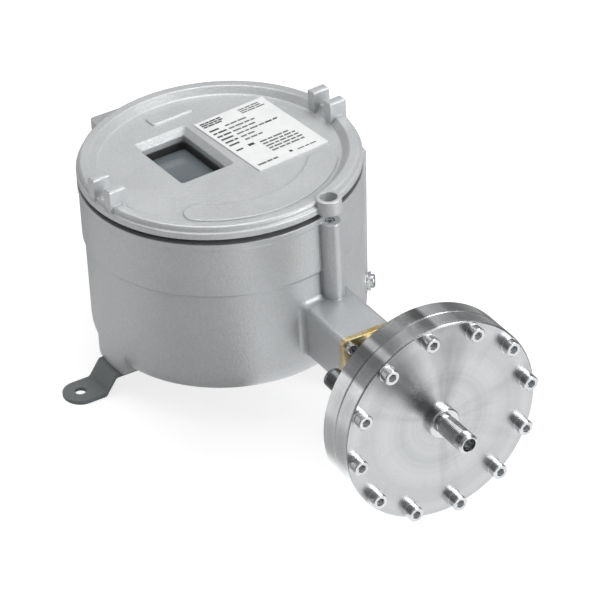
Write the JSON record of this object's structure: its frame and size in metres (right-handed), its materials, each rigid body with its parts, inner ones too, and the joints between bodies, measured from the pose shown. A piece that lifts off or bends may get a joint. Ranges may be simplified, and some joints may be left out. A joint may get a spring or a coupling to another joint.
{
  "type": "differential pressure switch",
  "caption": "Differential pressure switch: round cast pot with a screwed window lid and mounting feet, and an arm that carries a bolted round pressure capsule with pipe ports.",
  "frame": {"origin": "centre of the feet's hole circle, in the plane of the pads' undersides, on the pot's axis", "axes": "+Z along the pot's axis towards the lid, -Y from the pot along the arm to the front pressure port, +X to the side with the plugged cable entry"},
  "size_m": [0.212, 0.3803, 0.1661],
  "materials": {
    "housing_paint": "fine textured light grey paint",
    "lid_paint": "fine textured light grey paint",
    "foot_paint": "dark grey paint",
    "label_plate": "satin, printed table",
    "stainless": "turned",
    "stainless_face": "faced on a lathe",
    "port_steel": "turned",
    "screw_steel": "bright",
    "washer_steel": "bright",
    "zinc_steel": "zinc plated",
    "yellow_zinc": "yellow zinc plated",
    "spring_steel": "drawn wire",
    "brass": "machined",
    "plated_brass": "nickel plated",
    "rubber": "moulded",
    "window_glass": "polished",
    "pointer_red": "satin",
    "scale_white": "satin",
    "black_plastic": "moulded",
    "button_plastic": "moulded",
    "block_plastic": "moulded",
    "wire_cover": "extruded"
  },
  "bodies": {
    "housing": {"housing_body": "housing_paint", "foot_strap_left": "foot_paint", "foot_strap_front": "foot_paint", "foot_strap_back": "foot_paint", "foot_screws": "screw_steel", "earth_washer": "screw_steel", "earth_clamp": "screw_steel", "earth_screw": "screw_steel", "entry_plug": "plated_brass", "gland_body": "plated_brass", "gland_nut": "plated_brass", "gland_seal": "rubber", "adapter_plate": "yellow_zinc", "adapter_plate_screws": "screw_steel", "neck_tube": "stainless", "neck_nut": "screw_steel", "rod_seal": "rubber", "rear_flange": "stainless", "front_flange": "stainless_face", "capsule_o_ring": "rubber", "diaphragm": "stainless", "flange_screws": "screw_steel", "flange_washers": "washer_steel", "high_pressure_port": "port_steel", "low_pressure_port": "port_steel", "switch_chassis": "zinc_steel", "chassis_screws": "screw_steel", "inner_earth_screw": "brass", "lever_pin": "screw_steel", "lever_clip": "screw_steel", "scale_plate": "scale_white", "scale_posts": "screw_steel", "scale_screws": "screw_steel", "switch_shelf": "zinc_steel", "micro_switch": "black_plastic", "switch_blades": "brass", "switch_screws": "screw_steel", "terminal_block": "block_plastic", "terminal_screws": "brass", "switch_wires": "wire_cover"},
    "lid_ring": {"lid_seal": "rubber"},
    "lid": {"lid": "lid_paint", "window_gasket": "rubber", "window_glass": "window_glass", "window_retainer": "zinc_steel", "window_retainer_screws": "zinc_steel", "nameplate": "label_plate"},
    "lock_screw": {"lid_lock_screw": "screw_steel"},
    "rod": {"push_rod": "stainless", "back_plate": "stainless"},
    "lever": {"lever": "zinc_steel"},
    "button": {"switch_button": "button_plastic"},
    "spindle": {"setting_spindle": "brass"},
    "nut": {"spring_nut": "brass", "pointer": "pointer_red", "range_spring": "spring_steel"}
  },
  "joints": [
    {"name": "lid_lift", "type": "slide", "parent": "housing", "child": "lid_ring", "axis": [0, 0, 1], "range_m": [0, 0.012]},
    {"name": "lid_turn", "type": "hinge", "parent": "lid_ring", "child": "lid", "pos_m": [0, 0, 0.1325], "axis": [0, 0, 1], "range_deg": [0, 2160]},
    {"name": "lock_screw_lift", "type": "slide", "parent": "housing", "child": "lock_screw", "axis": [0, 0, 1], "range_m": [0, 0.008]},
    {"name": "rod_travel", "type": "slide", "parent": "housing", "child": "rod", "axis": [0, 1, 0], "range_m": [0, 0.0006], "stiffness_N_per_m": 3000, "deforming": ["diaphragm"]},
    {"name": "lever_swing", "type": "hinge", "parent": "housing", "child": "lever", "pos_m": [0.0505, -0.014, 0.052], "axis": [0, 0, -1], "range_deg": [0, 1.23], "deforming": ["range_spring"]},
    {"name": "button_press", "type": "slide", "parent": "housing", "child": "button", "axis": [0, 1, 0], "range_m": [0, 0.0015]},
    {"name": "spindle_turn", "type": "hinge", "parent": "housing", "child": "spindle", "pos_m": [0.0225, 0.052, 0.052], "axis": [0, 1, 0], "range_deg": [0, 4320]},
    {"name": "nut_travel", "type": "slide", "parent": "housing", "child": "nut", "axis": [0, -1, 0], "range_m": [0, 0.012], "deforming": ["range_spring"]}
  ],
  "couplings": [
    {"joint": "lid_lift", "follows": "lid_turn", "m_per_rad": 0.0003183},
    {"joint": "lever_swing", "follows": "rod_travel", "rad_per_m": 35.714},
    {"joint": "button_press", "follows": "rod_travel", "ratio": 2.5},
    {"joint": "spindle_turn", "follows": "nut_travel", "rad_per_m": 6283.2}
  ]
}
